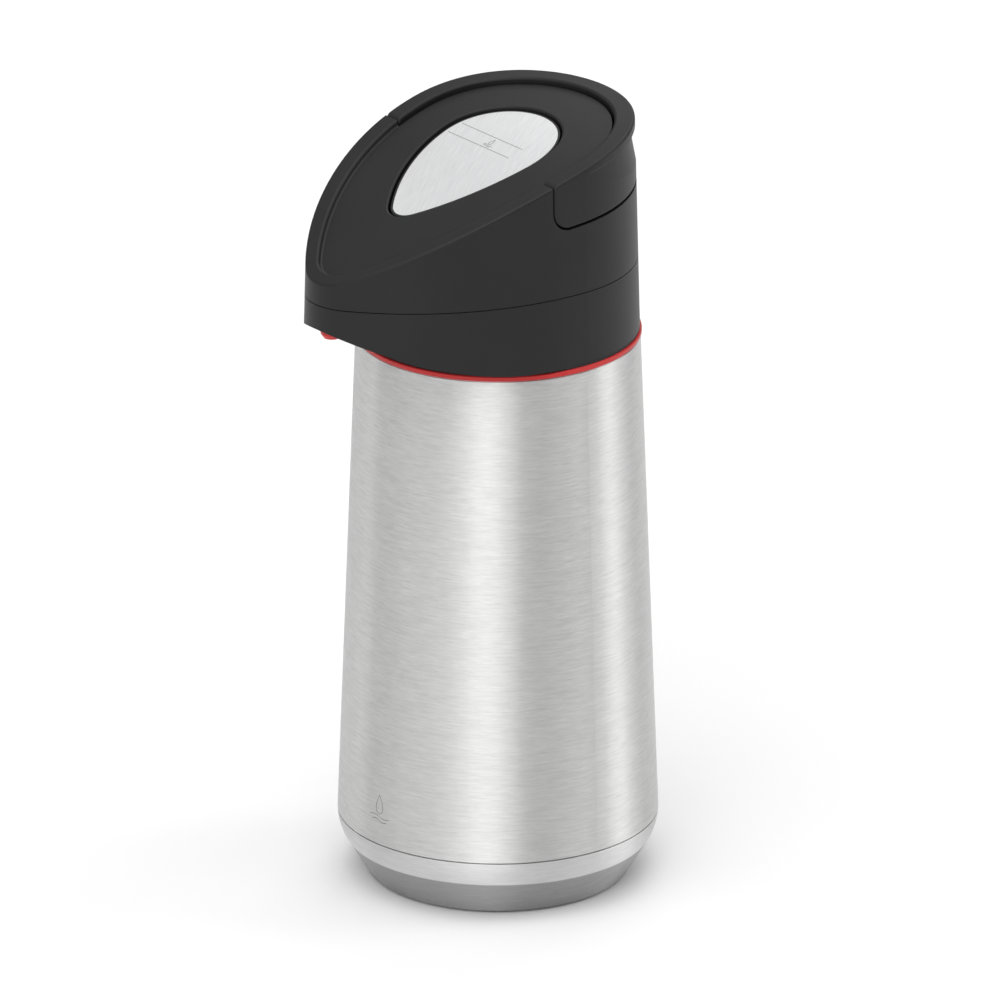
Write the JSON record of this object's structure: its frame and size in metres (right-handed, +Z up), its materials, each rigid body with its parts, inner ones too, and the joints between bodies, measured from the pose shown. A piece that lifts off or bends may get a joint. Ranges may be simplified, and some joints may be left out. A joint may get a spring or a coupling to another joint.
{
  "type": "pump pot",
  "caption": "Tall steel vacuum pot with a slanted dark pump head, a drop-shaped steel push button, a pouring nose and a folding rear carry handle.",
  "frame": {"origin": "centre of the foot pad's resting face, on the bottle's axis", "axes": "+Z up along the bottle's axis, -Y towards the pouring nose, +X to the right seen from behind the nose"},
  "size_m": [0.145, 0.1765, 0.3623],
  "materials": {
    "body_steel": "fine brushing running round the body",
    "base_steel": "satin, brushing running round",
    "plate_steel": "fine straight brushing with two engraved lines",
    "plain_steel": "drawn sheet, half bright",
    "fastener_steel": "zinc plated",
    "head_plastic": "charcoal, satin, very fine grain",
    "inner_plastic": "moulded, unpolished",
    "clear_white_plastic": "natural polypropylene",
    "bellows_plastic": "blow moulded",
    "red_plastic": "moulded, half gloss",
    "seal_rubber": "silicone",
    "foot_rubber": "matt"
  },
  "bodies": {
    "bottle": {"outer_shell": "body_steel", "shell_bottom": "plain_steel", "inner_liner": "plain_steel", "vacuum_seal": "fastener_steel", "getter": "fastener_steel", "base_cup": "base_steel", "base_plate": "inner_plastic", "foot_pad": "foot_rubber", "accent_ring": "red_plastic", "neck_ring": "inner_plastic"},
    "head": {"lower_housing": "head_plastic", "upper_housing": "head_plastic", "housing_screws": "fastener_steel", "stopper": "clear_white_plastic", "mouth_gasket": "seal_rubber", "dip_tube": "clear_white_plastic", "tube_seal": "seal_rubber", "spout_pipe": "clear_white_plastic", "nozzle": "red_plastic", "pump_base": "inner_plastic", "pump_screws": "fastener_steel", "air_tube": "inner_plastic", "air_valve": "seal_rubber", "bellows": "bellows_plastic", "return_spring": "fastener_steel", "handle_pins": "fastener_steel"},
    "button": {"push_button": "head_plastic", "button_plate": "plate_steel", "bellows_cap": "inner_plastic", "cap_screw": "fastener_steel", "vent_valve": "seal_rubber"},
    "handle": {"carry_handle": "head_plastic"}
  },
  "joints": [
    {"name": "head_lift", "type": "slide", "parent": "bottle", "child": "head", "axis": [0, 0, 1], "range_m": [0, 0.25]},
    {"name": "button_press", "type": "slide", "parent": "head", "child": "button", "axis": [0, 0, -1], "range_m": [0, 0.018], "stiffness_N_per_m": 900, "springref_m": -0.004, "deforming": ["bellows", "return_spring"]},
    {"name": "handle_raise", "type": "hinge", "parent": "head", "child": "handle", "pos_m": [0, -0.007, 0.343], "axis": [1, 0, 0], "range_deg": [0, 92]}
  ]
}
